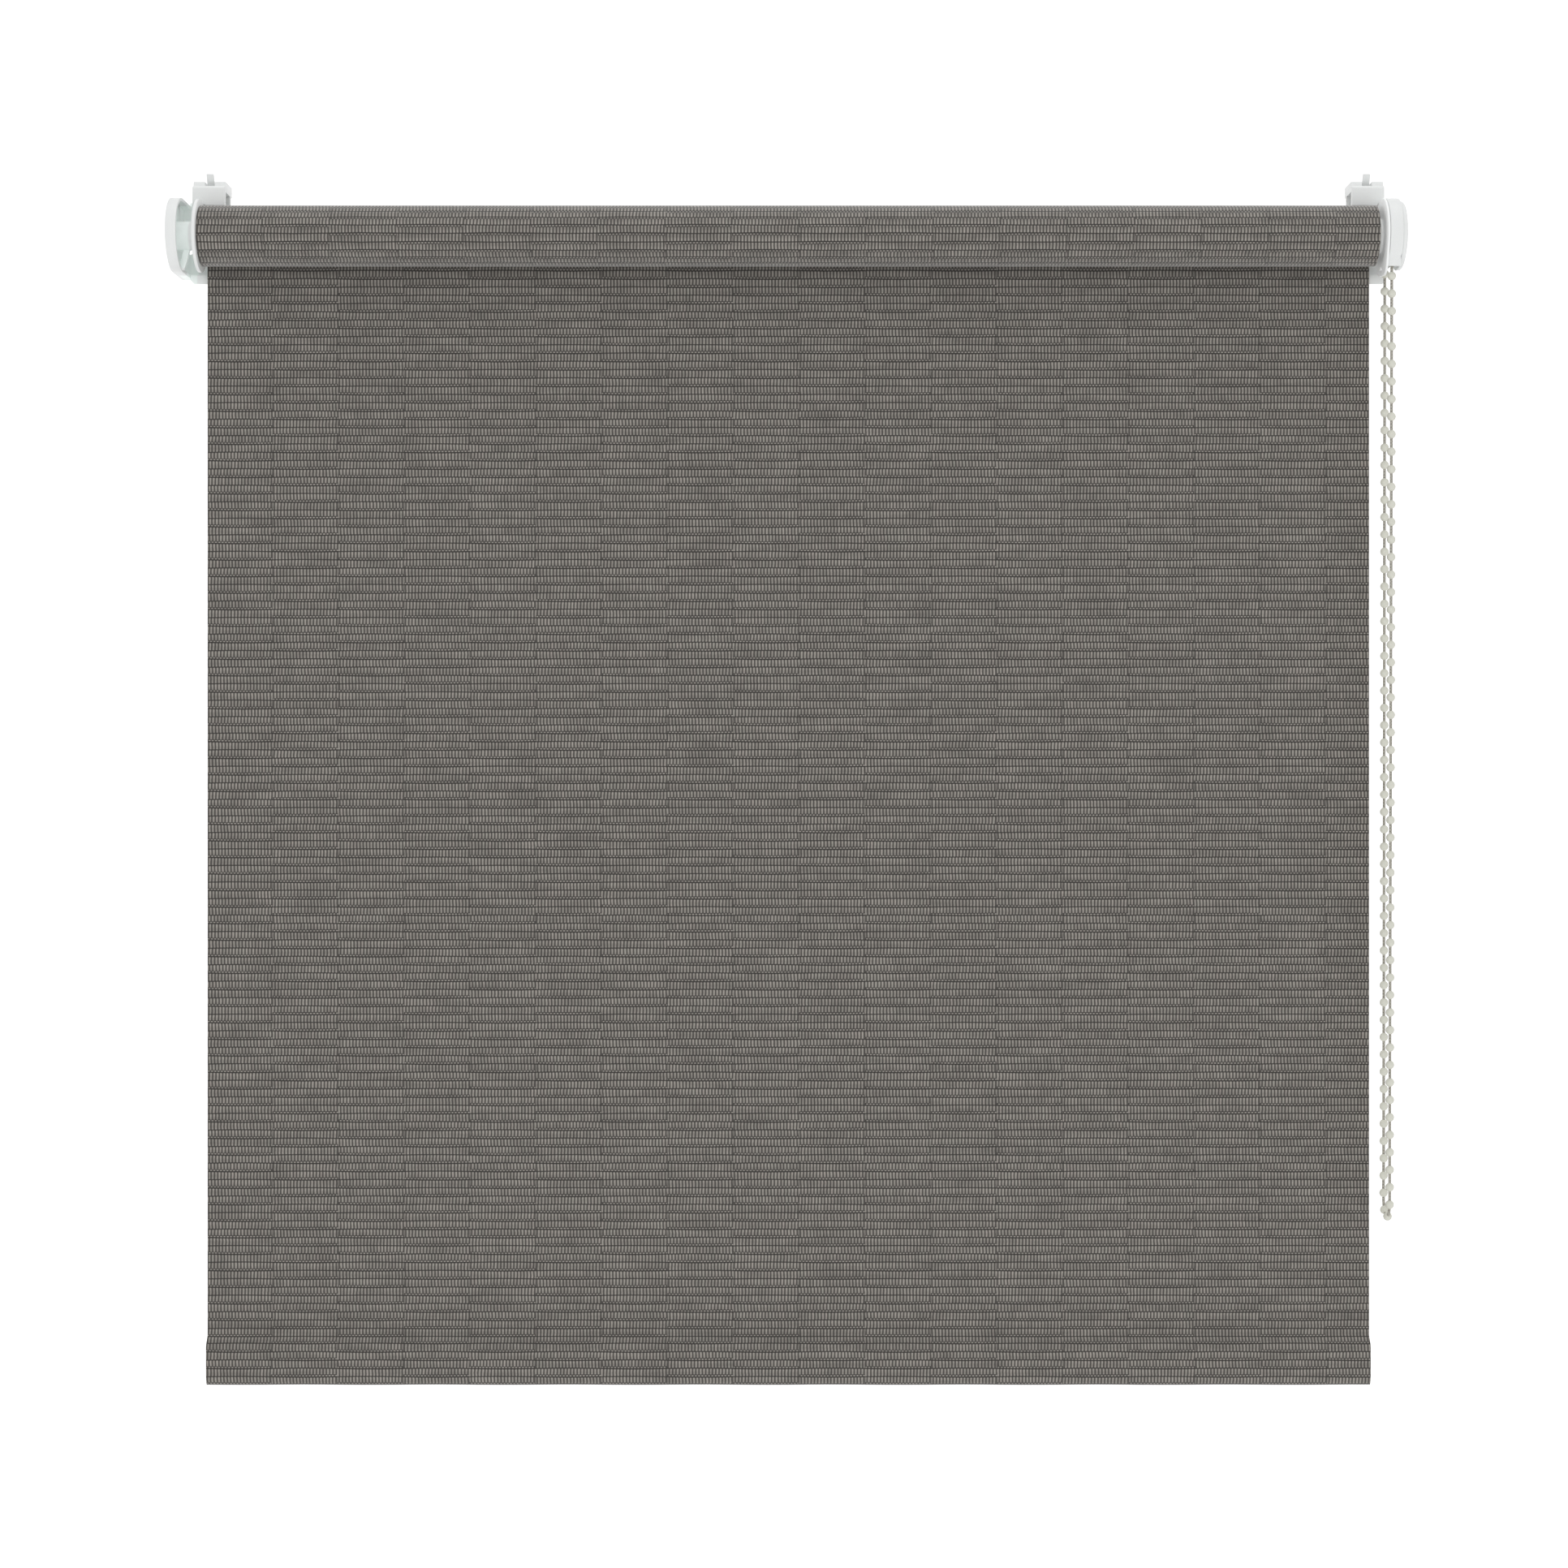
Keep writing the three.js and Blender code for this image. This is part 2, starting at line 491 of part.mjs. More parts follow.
// A star wheel whose pockets take the beads and whose rim groove takes the chain's cord.
function chainWheel() {
  const width = BEAD_DIAMETER / 2 + CHAIN_PLAY - GAP;
  const rim = WHEEL_PITCH_RADIUS + 2;
  const disc = rod(rim, CHAIN_U - width, CHAIN_U + width, 48);
  const grooveFloor = WHEEL_PITCH_RADIUS - CHAIN_CORD_DIAMETER / 2 - GAP;
  const grooveHalf = CHAIN_CORD_DIAMETER / 2 + GAP;
  const groove = pipe(rim + 1, grooveFloor, CHAIN_U - grooveHalf, CHAIN_U + grooveHalf, 48);
  const pockets = wheelAngles(WHEEL_POCKETS).flatMap((angle) => {
    const out = (radius) => rod(
      POCKET_R, CHAIN_U - width - 1, CHAIN_U + width + 1, 20,
      -radius * Math.cos(angle), radius * Math.sin(angle),
    );
    return [out(WHEEL_PITCH_RADIUS), out(WHEEL_PITCH_RADIUS + 2)];
  });
  const sleeve = rod(SLEEVE_R, CORE_END - CORE_LENGTH + 1, CHAIN_U, 28);
  const springRoom = rod(
    SLEEVE_R - SLEEVE_WALL, CORE_END - CORE_LENGTH, CHAIN_U - width, 28,
  );
  const bore = rod(CORE_R + GAP, CHAIN_U - width - 1, CHAIN_U + width + 1, 28);
  return cut(join(disc, sleeve), groove, ...pockets, springRoom, bore);
}
function wheelAngles(count) {
  const phase = THREE.MathUtils.degToRad(WHEEL_PHASE_DEG);
  return Array.from({ length: count }, (_, i) => phase + (2 * Math.PI * i) / WHEEL_POCKETS);
}

// The half turn of chain that lies over the wheel, with the beads in its pockets.
function wheelChain() {
  class OverWheel extends THREE.Curve {
    getPoint(t, target = new THREE.Vector3()) {
      const angle = Math.PI * t;
      const y = AXIS_Y - WHEEL_PITCH_RADIUS * Math.cos(angle);
      return target.set(CHAIN_U, y, WHEEL_PITCH_RADIUS * Math.sin(angle));
    }
  }
  const cord = solidOf(new THREE.ExtrudeGeometry(roundShape(CHAIN_CORD_DIAMETER / 2, 8), {
    steps: 16, extrudePath: new OverWheel(), bevelEnabled: false,
  }));
  const beads = wheelAngles(WHEEL_POCKETS / 2).map((angle) => {
    const y = AXIS_Y - WHEEL_PITCH_RADIUS * Math.cos(angle);
    const z = WHEEL_PITCH_RADIUS * Math.sin(angle);
    return solidOf(new THREE.SphereGeometry(BEAD_DIAMETER / 2, 12, 8).translate(CHAIN_U, y, z));
  });
  return join(cord, ...beads);
}

// The chain's two runs and loop below the wheel, as a plain cord.
function hangingChain() {
  const points = CHAIN_ROUTE.map(([depth, z]) => new THREE.Vector3(CHAIN_U, AXIS_Y + depth, z));
  return solidOf(new THREE.ExtrudeGeometry(roundShape(CHAIN_CORD_DIAMETER / 2, 8), {
    steps: 80, extrudePath: new THREE.CatmullRomCurve3(points), bevelEnabled: false,
  }));
}

// The sleeve in the tube's end that the clutch turns, with the shoulder that shows.
function driveSpigot() {
  const deep = CORE_END - CORE_LENGTH - 12;
  const bodyR = TUBE_INNER_R - GAP;
  const shoulder = HALF + GAP;
  const body = turned([
    [deep, 0], [deep, bodyR], [shoulder, bodyR], [shoulder, TUBE_R - 0.1],
    [shoulder + SHOULDER_WIDTH, TUBE_R - 0.1], [shoulder + SHOULDER_WIDTH, 0],
  ], 40);
  const bore = rod(SLEEVE_R + GAP, CORE_END - CORE_LENGTH - 2, HALF + 10, 28);
  return cut(body, bore);
}

// ---------------------------------------------------------------- tube and cloth
const TAPE_THICKNESS = 0.25;
const TAPE_ANGLE = THREE.MathUtils.degToRad(60);
// A slice of a pipe on the roller's axis that holds the tape.
function tapeArc(inner, outer, half, angle) {
  const shape = new THREE.Shape();
  shape.absarc(0, 0, outer, -angle / 2, angle / 2, false);
  shape.absarc(0, 0, inner, angle / 2, -angle / 2, true);
  shape.closePath();
  return extrudeAcross(shape, -half, half, 10);
}
const TAPE_IN = TUBE_R + GAP;
const TAPE_OUT = TAPE_IN + TAPE_THICKNESS;

function woundCloth() {
  const roll = pipe(ROLL_R, TUBE_R + GAP, -HALF, HALF, 56);
  return cut(roll, tapeArc(TUBE_R, TAPE_OUT + GAP, HALF + 1, TAPE_ANGLE + 0.1));
}

function sheet() {
  return box(-HALF, HALF, SHEET_FRONT_Y, SHEET_BACK_Y, -DROP + GAP, SHEET_TOP);
}

// The loop of cloth at the hem: straight at the back, swelling forwards round the bar.
const HEM_BACK = ROLL_R + 0.9;
const HEM_FRONT = HEM_BACK - BAR_THICKNESS - 2 * CLOTH_THICKNESS - 2 * GAP - 0.2;
function hemShape(inset) {
  const top = -DROP - inset * 3;
  const bottom = -DROP - HEM_HEIGHT + inset * 1.2;
  const sheetFront = ROLL_R - CLOTH_THICKNESS;
  const front = HEM_FRONT + inset;
  const back = HEM_BACK - inset;
  const upper = -DROP - HEM_HEIGHT * 0.26;
  const lower = -DROP - HEM_HEIGHT * 0.76;
  const shape = new THREE.Shape();
  shape.moveTo(sheetFront, top);
  shape.bezierCurveTo(sheetFront, top - 3, front, upper + 3, front, upper);
  shape.lineTo(front, lower);
  shape.bezierCurveTo(front, lower - 3, front + 1.6, bottom, (front + back) / 2, bottom);
  shape.bezierCurveTo(back - 0.6, bottom, back, lower - 3, back, lower);
  shape.lineTo(back, upper);
  shape.bezierCurveTo(back, upper + 3, ROLL_R, top - 3, ROLL_R, top);
  shape.closePath();
  return shape;
}
function hemPocket() {
  const outside = extrudeAcross(hemShape(0), -HALF, HALF, 6);
  return cut(outside, barSolid(GAP, HALF + 1));
}
// The flat bar with round edges; grow makes the room around it.
function barSolid(grow, half) {
  const middle = -DROP - HEM_HEIGHT * 0.52;
  const centre = (HEM_FRONT + HEM_BACK) / 2;
  const r = BAR_THICKNESS / 2;
  const straight = BAR_HEIGHT / 2 - r;
  const shape = new THREE.Shape();
  shape.absarc(centre, middle + straight, r + grow, 0, Math.PI, false);
  shape.absarc(centre, middle - straight, r + grow, Math.PI, 2 * Math.PI, false);
  shape.closePath();
  return extrudeAcross(shape, -half, half, 8);
}

// ---------------------------------------------------------------- the assembly
for (const side of [-1, 1]) {
  piece(sideName(side) + "_wall_plate", wallPlate(), whitePlastic, side);
  piece(sideName(side) + "_release_tab", releaseTab(), whitePlastic, side);
}
piece("left_side_bracket", idleBracket(), whitePlastic, -1);
piece("idle_plug", idlePlug(), whitePlastic, -1);
piece("idle_pin", idlePin(), naturalNylon, -1);
piece("idle_pin_spring", coilSpring(
  HALF - PLUG_LENGTH + 4 + GAP, COLLAR_IN - GAP,
  PIN_GUIDE_DIAMETER / 2 + GAP + PIN_SPRING_WIRE / 2 + 0.2, PIN_SPRING_WIRE, 6,
), springSteel, -1);

piece("right_side_bracket", controlBracket(), whitePlastic);
piece("control_flange", controlFlange(), whitePlastic);
piece("control_cap", controlCap(), whitePlastic);
piece("clutch_core", clutchCore(), naturalNylon);
piece("core_screw", coreScrew(), springSteel);
piece("chain_wheel", chainWheel(), whitePlastic);
["inner", "outer"].forEach((name, i) => {
  const start = CORE_END - CORE_LENGTH + 4 + i * (CLUTCH_SPRING_LENGTH + 2);
  const radius = CORE_R + GAP + CLUTCH_SPRING_WIRE / 2;
  const spring = coilSpring(start, start + CLUTCH_SPRING_LENGTH, radius, CLUTCH_SPRING_WIRE, 4);
  piece("wrap_spring_" + name, spring, springSteel);
});
piece("drive_spigot", driveSpigot(), whitePlastic);
piece("wheel_chain", wheelChain(), creamPlastic);
piece("bead_chain", hangingChain(), beadCord);

piece("roller_tube", pipe(TUBE_R, TUBE_INNER_R, -HALF, HALF, 48), aluminium);
piece("fabric_tape", tapeArc(TAPE_IN, TAPE_OUT, HALF - 2, TAPE_ANGLE), tape);
piece("fabric_roll", woundCloth(), cloth);
piece("fabric_sheet", sheet(), cloth);
piece("hem_pocket", hemPocket(), cloth);
piece("bottom_bar", barSolid(0, HALF - BAR_END_INSET), aluminium);

export default blind;
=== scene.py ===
# %% [markdown]
# # A small roller blind
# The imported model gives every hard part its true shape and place. This file adds what
# Blender is good at: woven cloth, a bead chain, softened plastic and the finishes.
# Everything is in metres, with the wall at y = 0 and the roller's axis level with z = 0.

# %% Load the frame
import contextlib
import json
import math

import bmesh
import bpy
import numpy as np
from mathutils import Matrix, Vector


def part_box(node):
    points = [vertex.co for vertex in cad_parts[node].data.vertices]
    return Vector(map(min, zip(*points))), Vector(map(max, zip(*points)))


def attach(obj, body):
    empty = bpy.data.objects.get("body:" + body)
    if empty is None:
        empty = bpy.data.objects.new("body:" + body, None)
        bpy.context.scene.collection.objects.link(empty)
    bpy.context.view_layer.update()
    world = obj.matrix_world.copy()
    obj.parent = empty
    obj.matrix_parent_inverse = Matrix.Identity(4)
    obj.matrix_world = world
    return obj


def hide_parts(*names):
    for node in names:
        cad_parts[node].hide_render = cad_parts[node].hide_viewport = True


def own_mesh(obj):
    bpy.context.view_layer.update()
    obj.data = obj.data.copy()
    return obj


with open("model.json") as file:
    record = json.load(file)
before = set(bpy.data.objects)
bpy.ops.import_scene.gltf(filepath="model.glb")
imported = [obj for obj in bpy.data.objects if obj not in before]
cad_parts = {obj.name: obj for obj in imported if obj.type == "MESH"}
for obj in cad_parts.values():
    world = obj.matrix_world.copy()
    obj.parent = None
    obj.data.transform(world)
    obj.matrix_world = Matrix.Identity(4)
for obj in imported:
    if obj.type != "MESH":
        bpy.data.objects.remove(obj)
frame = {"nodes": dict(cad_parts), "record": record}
MM = 0.001
FULL_TURN = 2 * math.pi
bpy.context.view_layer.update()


def new_object(name, data):
    """An object at the origin that holds this mesh, curve, lamp or camera."""
    item = bpy.data.objects.new(name, data)
    bpy.context.scene.collection.objects.link(item)
    return item


# %% [markdown]
# ## The camera
# A long lens stands level with the middle of the blind, so its two sides stay upright.

# %% Camera
camera_data = bpy.data.cameras.new("camera")
camera_data.sensor_width = 36
camera_data.lens = 68.46
camera_data.clip_end = 50
camera = new_object("camera", camera_data)
camera.location = (-0.00224, -1.5523, -0.2803)
camera.rotation_euler = (math.radians(90), 0, 0)
bpy.context.scene.camera = camera
print("camera lens", camera_data.lens)

# %% [markdown]
# ## The chain's string
# A bead chain is a thin braided string with beads moulded on it at one even pitch. The
# string leaves the drum at the front, hangs in one long loop and goes back in behind, so
# it is one smooth curve with a round section. A curve keeps its length exactly.

# %% Chain string
AXIS_Y = -27 * MM
CHAIN_X = 306.9 * MM
CHAIN_ROUTE = [  # depth behind the roller's axis, and height, in millimetres
    (-8.8, -9), (-8.2, -60), (-7.3, -140), (-6.3, -220), (-5.4, -300), (-4.4, -380),
    (-3.7, -440), (-3.3, -475), (-3.1, -494.5), (-2.1, -498.3), (0.7, -501.1),
    (4.5, -502.1), (8.3, -501.1), (11.1, -498.3), (12.1, -494.5), (12, -475),
    (11.8, -440), (11.4, -380), (10.8, -300), (10.3, -220), (9.8, -140), (9.3, -60),
    (9, -9),
]
STRING_DIAMETER = 1.45 * MM


def smooth_path(points, steps):
    """A centripetal Catmull-Rom curve through the points, as many closely spaced points."""
    p = [np.array(v, float) for v in points]
    p = [2 * p[0] - p[1], *p, 2 * p[-1] - p[-2]]
    out = []
    for a, b, c, d in zip(p, p[1:], p[2:], p[3:]):
        gaps = [np.linalg.norm(v - u) ** 0.5 for u, v in ((a, b), (b, c), (c, d))]
        t = np.cumsum([0, *gaps])
        for s in np.linspace(t[1], t[2], steps, endpoint=False):

            def mix(u, v, t0, t1):
                return ((t1 - s) * u + (s - t0) * v) / (t1 - t0)

            ab, bc, cd = mix(a, b, t[0], t[1]), mix(b, c, t[1], t[2]), mix(c, d, t[2], t[3])
            out.append(mix(mix(ab, bc, t[0], t[2]), mix(bc, cd, t[1], t[3]), t[1], t[2]))
    return np.array([*out, p[-2]])


def path_length(points):
    return float(np.linalg.norm(np.diff(points, axis=0), axis=1).sum())


def curve_object(name, points, radius):
    """A curve of straight steps through the points, with a round section."""
    data = bpy.data.curves.new(name, "CURVE")
    data.dimensions = "3D"
    spline = data.splines.new("POLY")
    spline.points.add(len(points) - 1)
    for knot, point in zip(spline.points, points):
        knot.co = (*point, 1)
    data.bevel_depth = radius
    data.bevel_resolution = 3
    data.use_fill_caps = radius > 0
    return new_object(name, data)


chain_path = smooth_path(
    [(CHAIN_X, AXIS_Y + depth * MM, z * MM) for depth, z in CHAIN_ROUTE], steps=10
)
chain_string = curve_object("chain_string", chain_path, STRING_DIAMETER / 2)
print("string length", round(path_length(chain_path), 4), "m")

# %% [markdown]
# ## Shader maths
# A wire stands for one socket. Plus, minus, times and so on add Math nodes, so a pattern
# reads like a formula. A finish holds one material's nodes.

# %% Wires


class Wire:
    def __init__(self, finish, socket):
        self.finish, self.socket = finish, socket

    def maths(self, operation, *others):
        return self.finish.add("ShaderNodeMath", {"operation": operation}, self, *others)

    def __add__(self, other):
        return self.maths("ADD", other)

    def __sub__(self, other):
        return self.maths("SUBTRACT", other)

    def __mul__(self, other):
        return self.maths("MULTIPLY", other)

    def __truediv__(self, other):
        return self.maths("DIVIDE", other)

    def __mod__(self, other):
        return self.maths("FLOORED_MODULO", other)

    def __pow__(self, other):
        return self.maths("POWER", other)

    def __rsub__(self, other):
        return self.finish.add("ShaderNodeMath", {"operation": "SUBTRACT"}, other, self)

    __radd__ = __add__
    __rmul__ = __mul__

    def above(self, edge, soft):
        """0 below the edge and 1 above it, with a soft step between."""
        return self.finish.add(
            "ShaderNodeMapRange", {"interpolation_type": "SMOOTHSTEP"},
            self, edge - soft, edge + soft,
        )


print("wires ready")

# %% Finishes


class Finish:
    def __init__(self, name, roughness, metallic=0.0, **constants):
        self.material = bpy.data.materials.new(name)
        self.material.use_nodes = True
        self.tree = self.material.node_tree
        self.shader = self.tree.nodes["Principled BSDF"]
        self.set(Roughness=roughness, Metallic=metallic, **constants)

    def set(self, **values):
        """Sets or links the shader's sockets by name; _ stands for a space."""
        for key, value in values.items():
            self.join(self.shader.inputs[key.replace("_", " ")], value)

    def join(self, socket, value):
        if isinstance(value, Wire):
            self.tree.links.new(value.socket, socket)
        elif hasattr(socket.default_value, "__len__") and hasattr(value, "__len__"):
            size = len(socket.default_value)
            socket.default_value = (*value, 1)[:size] if len(value) < size else value
        else:
            socket.default_value = value

    def add(self, kind, settings, *values, out=0, named=None):
        """A node of this kind: its settings first, then what goes into its sockets."""
        node = self.tree.nodes.new(kind)
        for key, value in settings.items():
            if key == "stops":
                self.fill_ramp(node.color_ramp, value)
            else:
                setattr(node, key, value)
        for socket, value in zip(node.inputs, values):
            self.join(socket, value)
        for key, value in (named or {}).items():
            self.join(node.inputs[key], value)
        return Wire(self, node.outputs[out])

    def fill_ramp(self, ramp, stops):
        while len(ramp.elements) < len(stops):
            ramp.elements.new(1)
        for element, (place, level) in zip(ramp.elements, stops):
            element.position = place
            element.color = (level, level, level, 1)

    def ramp(self, factor, stops):
        return self.add("ShaderNodeValToRGB", {"stops": stops}, factor)

    def paint(self, factor, a, b):
        """Colour a where the factor is 0, and colour b where it is 1."""
        return self.add(
            "ShaderNodeMix", {"data_type": "RGBA"}, out=2, named={0: factor, 6: a, 7: b}
        )

    def place(self):
        return self.add("ShaderNodeTexCoord", {}, out=3)

    def parts(self, vector):
        node = self.add("ShaderNodeSeparateXYZ", {}, vector).socket.node
        return [Wire(self, socket) for socket in node.outputs]

    def vector(self, x, y):
        return self.add("ShaderNodeCombineXYZ", {}, x, y, 0.0)

    def noise(self, vector, scale, detail=3.0):
        return self.add(
            "ShaderNodeTexNoise", {}, named={"Vector": vector, "Scale": scale, "Detail": detail}
        )

    def dice(self, vector):
        """A random level that stays the same over each whole-numbered cell."""
        return self.add("ShaderNodeTexWhiteNoise", {"noise_dimensions": "2D"}, vector)

    def bump(self, height, depth, strength=1.0):
        self.set(Normal=self.add(
            "ShaderNodeBump", {},
            named={"Strength": strength, "Distance": depth, "Height": height},
        ))


print("finishes ready")

# %% [markdown]
# ## Plastic
# The brackets, flanges and wheel are moulded in one satin white. Real mouldings aren't one
# flat colour: the gloss drifts a little, faint flow marks run through them, and the skin
# has a fine grain. The thin parts beside the drum, which little light reaches, get a faint
# painted glow that lightens their shade, standing for the light that white plastic lets through.

# %% Moulded plastics
FLOW_MARKS, GLOSS_DRIFT, SKIN_GRAIN = 55.0, 160.0, 900.0  # noise scales, per metre
GRAIN_DEPTH = 0.04 * MM
WHITE = (0.86, 0.875, 0.87)


def moulded(name, colour, roughness, grain=SKIN_GRAIN, painted_light=0.0):
    finish = Finish(
        name, roughness=roughness, Specular_IOR_Level=0.22, Subsurface_Weight=0.12,
        Subsurface_Scale=0.0015, Subsurface_Radius=(1.0, 1.0, 0.95))
    place = finish.place()
    flow = finish.noise(place, FLOW_MARKS)
    # The emission is painted light: it lightens the shade on parts that little light reaches; 0
    # leaves the white plain.
    finish.set(
        Base_Color=finish.paint(flow, [c * 0.97 for c in colour], colour),
        Roughness=roughness - 0.06 + 0.12 * finish.noise(place, GLOSS_DRIFT),
        Emission_Color=(painted_light, painted_light, painted_light), Emission_Strength=1.0,
    )
    finish.bump(finish.noise(place, grain), GRAIN_DEPTH)
    return finish


white = moulded("white_moulded", WHITE, 0.38)
# This white has a painted glow that lightens the shade on the flange and spigot beside the drum.
painted_light_white = moulded("white_painted_light", WHITE, 0.42, painted_light=0.1)
nylon = moulded("natural_nylon", (0.78, 0.75, 0.66), 0.45)
cream = moulded("bead_cream", (0.73, 0.73, 0.65), 0.4, grain=600.0)
cream.set(Specular_IOR_Level=0.08, Subsurface_Weight=0.0)
print("plastics", [f.material.name for f in (white, painted_light_white, nylon, cream)])

# %% [markdown]
# The left bracket's hollow side is thin-walled. Its own finish paints a faint green tint and
# a faint glow inside the round rim and over the web that joins the bracket's side to its back:
# painted light that lightens the shade in the hollow, for light that soaks in and comes back
# faintly green.

# %% Thin-walled plastic with painted light
HOLLOW_RADIUS = 16.6 * MM
WEB_FRONT = -16 * MM
HOLLOW_SIDES = (-313.6 * MM, -305.8 * MM)


def painted_recess_finish():
    finish = moulded("white_painted_recess_light", WHITE, 0.4)
    plain = Wire(finish, finish.shader.inputs["Base Color"].links[0].from_socket)
    x, y, z = finish.parts(finish.place())
    radius = ((y - AXIS_Y) ** 2 + z ** 2) ** 0.5
    in_rim = 1 - radius.above(HOLLOW_RADIUS, 0.6 * MM)
    on_web = y.above(WEB_FRONT, 1 * MM)
    between_sides = x.above(HOLLOW_SIDES[0], 0.2 * MM) * (1 - x.above(HOLLOW_SIDES[1], 0.4 * MM))
    cloudy = 0.55 + 0.45 * finish.noise(finish.place(), 90.0)
    # Painted light: where this mask is 1 the hollow gets a painted green tint and glow that
    # lighten its shade.
    painted_recess_light = in_rim.maths("MAXIMUM", on_web) * between_sides * cloudy
    finish.set(
        Base_Color=finish.paint(painted_recess_light, plain, (0.83, 0.88, 0.86)),
        Emission_Color=finish.paint(painted_recess_light, (0.0, 0.0, 0.0), (0.115, 0.128, 0.123)),
    )
    return finish


painted_recess_white = painted_recess_finish()
print("painted recess light and tint ready")

# %% [markdown]
# ## Metal, string and tape
# Drawn wire and rolled tube show fine lines along their length; string is braided, so
# its strands cross at a slant and leave little pits, whose shade is painted darker into the
# colour.

# %% Metals, string and tape
BRAID_PITCH = 1.6 * MM


def drawn_metal(name, colour, roughness, lines):
    finish = Finish(name, roughness=roughness, metallic=1.0)
    stretched = finish.add(
        "ShaderNodeMapping", {}, named={"Vector": finish.place(), "Scale": (4.0, 300.0, 300.0)}
    )
    streak = finish.noise(stretched, lines)
    finish.set(
        Base_Color=finish.paint(streak, [c * 0.86 for c in colour], colour),
        Roughness=roughness - 0.08 + 0.2 * streak,
    )
    finish.bump(streak, 0.02 * MM)
    return finish


def braid(name, light, dark):
    finish = Finish(name, roughness=0.85)
    x, y, z = finish.parts(finish.place())
    turn = FULL_TURN / BRAID_PITCH
    strands = [((z + (x + y) * lean) * turn).maths("SINE") for lean in (1.0, -1.0)]
    height = strands[0].maths("MAXIMUM", strands[1]) * 0.5 + 0.5
    fuzz = finish.noise(finish.place(), 2500.0)
    # Painted shade: the colour darkens towards the pits between strands, with a random fuzz on
    # top.
    finish.set(Base_Color=finish.paint(height * 0.75 + fuzz * 0.25, dark, light))
    finish.bump(height, 0.12 * MM)
    return finish


aluminium = drawn_metal("mill_aluminium", (0.73, 0.74, 0.75), 0.32, 4.0)
steel = drawn_metal("spring_wire", (0.5, 0.51, 0.54), 0.28, 7.0)
string_braid = braid("string_braid", (0.5, 0.48, 0.42), (0.2, 0.19, 0.165))
tape_finish = moulded("tape_film", (0.74, 0.71, 0.6), 0.6)
chain_string.data.materials.append(string_braid.material)
print("metal, string and tape ready")

# %% [markdown]
# ## The weave
# Thick slubs run up and down over thinner cross threads. Each row of slubs is a bit over
# 4 mm tall, with a dark furrow between rows. Every other row is short of its full height
# and ends in a line of small stitches that sit between the slubs, and which rows those
# are swaps over every 34 mm of width. A thin dark seam shows where they swap.
# The pattern reads each piece's own cloth measure: width and length along the cloth.

# %% Sizes of the weave
ROW = 4.269 * MM
SLUB = 1.7 * MM
BLOCK = 34 * MM
ROW_PHASE = 0.54
BLOCK_PHASE = 0.132
EDGE = 0.5  # added to x, so that the cloth's own measure of width is never negative
DARK_THREAD = (0.03, 0.027, 0.0245)
OLIVE_THREAD, ROSE_THREAD = (0.325, 0.323, 0.284), (0.371, 0.325, 0.301)

# how bright the threads are down one row, from 0 at its top to 1 at the next row
FULL_SLUB = [
    (0.0, 0.08), (0.06, 0.2), (0.115, 1.0), (0.3, 0.95), (0.52, 0.8), (0.75, 0.8),
    (0.9, 0.9), (0.955, 0.12),
]
SHORT_SLUB = [*FULL_SLUB[:5], (0.68, 0.8), (0.73, 0.15), (0.76, 0.0)]
STITCH = [(0.77, 0.0), (0.8, 1.0), (0.9, 1.0), (0.94, 0.0)]
# and across one slub, from 0 in the gap beside it to 1 on its crown
ACROSS_SLUB = [(0.0, 0.0), (0.29, 0.04), (0.64, 0.83), (1.0, 1.0)]
print("weave rows every", ROW / MM, "mm")

# %% Woven cloth


def woven(name):
    finish = Finish(name, roughness=0.92, Sheen_Weight=0.55, Sheen_Roughness=0.45)
    cloth = finish.add("ShaderNodeAttribute", {"attribute_name": "cloth_measure"}, out=1)
    x, s, _ = finish.parts(cloth)
    rows, blocks = s / ROW - ROW_PHASE, x / BLOCK + BLOCK_PHASE
    row, down = rows.maths("FLOOR"), rows.maths("FRACT")
    stitched = (row + blocks.maths("FLOOR")) % 2.0

    # slubs stand side by side, each row a little out of step with the next
    own_shift = finish.dice(finish.vector(row, 7.0)) * 0.6
    drift = finish.noise(finish.vector(x * 60, rows * 0.7), 1.0) * 0.5
    slubs = x / SLUB + own_shift + drift
    wave = (slubs * FULL_TURN).maths("COSINE") * 0.5 + 0.5
    crown = 0.17 + 0.83 * finish.ramp(wave, ACROSS_SLUB)
    plain_row = finish.ramp(down, FULL_SLUB) * crown
    stitches = finish.ramp(down, STITCH) * (0.1 + 0.9 * (1 - wave))
    stitched_row = finish.ramp(down, SHORT_SLUB) * crown + stitches
    level = plain_row * (1 - stitched) + stitched_row * stitched

    # the seam between blocks shows most in every other row
    from_middle = (blocks.maths("FRACT") - 0.5).maths("ABSOLUTE")
    seam = from_middle.above(0.49, 0.005) * (0.06 + 0.42 * (row % 2.0))
    level = level * (1 - seam)

    # no two threads are quite alike: long streaks, single slubs and fine fibres differ
    streak = finish.noise(finish.vector(x * 45, rows * 0.8), 1.0, 4.0)
    slub = slubs.maths("ROUND")
    cell = finish.dice(finish.vector(slub, row))
    fibres = finish.noise(finish.vector(x * 9000, s * 1500), 1.0)
    shade = level * (0.75 + 0.24 * cell + 0.2 * fibres) * (0.55 + 0.9 * streak)
    hue = finish.noise(finish.vector(slub * 0.9, row * 0.3), 1.0)
    thread = finish.paint(hue, OLIVE_THREAD, ROSE_THREAD)
    finish.set(Base_Color=finish.paint(shade, DARK_THREAD, thread))
    finish.bump(level * 0.8 + 0.2 * fibres, 0.18 * MM, 0.7)
    return finish


cloth_finish = woven("slub_weave")
print("weave has", len(cloth_finish.tree.nodes), "nodes")

